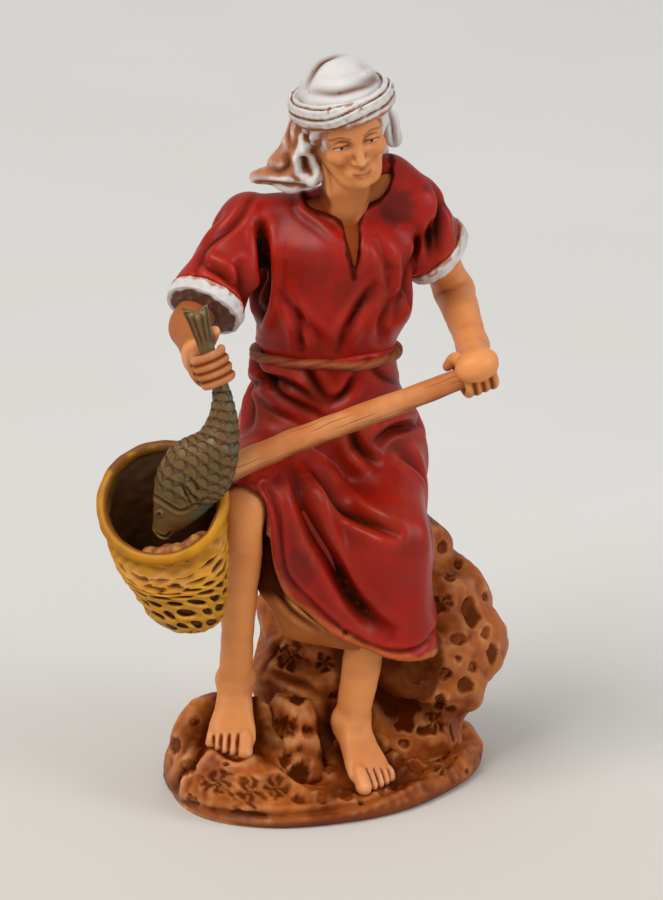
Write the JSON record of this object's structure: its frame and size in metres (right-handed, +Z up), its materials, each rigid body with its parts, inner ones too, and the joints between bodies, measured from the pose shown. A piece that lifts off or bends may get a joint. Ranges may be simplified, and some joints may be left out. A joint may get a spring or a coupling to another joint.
{
  "type": "fisherman figurine",
  "caption": "Moulded, hand-painted crib figurine of a seated fisherman in a belted tunic and head cloth, lowering a fish by its tail into a landing net held across the lap, on a rock base.",
  "frame": {"origin": "on the flat underside of the ground rock, below the figure's waist", "axes": "+Z up, the figure faces -Y and its right hand is on the -X side"},
  "size_m": [0.0513, 0.0456, 0.0962],
  "materials": {
    "painted_skin": "hand-painted flesh tone with a dark brown wash",
    "painted_tunic": "hand-painted crimson with a dark wash and worn edges",
    "painted_trim": "hand-painted ochre brown",
    "painted_rock": "hand-painted stone tan with dark pits",
    "painted_white": "dry-brushed white over tan",
    "painted_net": "hand-painted yellow with brown meshes",
    "painted_wood": "hand-painted light wood",
    "painted_fish": "hand-painted grey green scales"
  },
  "bodies": {
    "root": {"ground_rock": "painted_rock", "seat_rock": "painted_rock", "right_leg": "painted_skin", "left_leg": "painted_skin", "tunic_skirt": "painted_tunic", "under_tunic": "painted_trim", "belt": "painted_trim", "tunic_body": "painted_tunic", "right_cuff": "painted_white", "left_cuff": "painted_white", "right_arm": "painted_skin", "left_arm": "painted_skin", "head": "painted_skin", "head_cloth": "painted_white", "head_band": "painted_white", "net_pole": "painted_wood", "net_hoop": "painted_net", "net_bag": "painted_net", "fish": "painted_fish"}
  },
  "joints": []
}
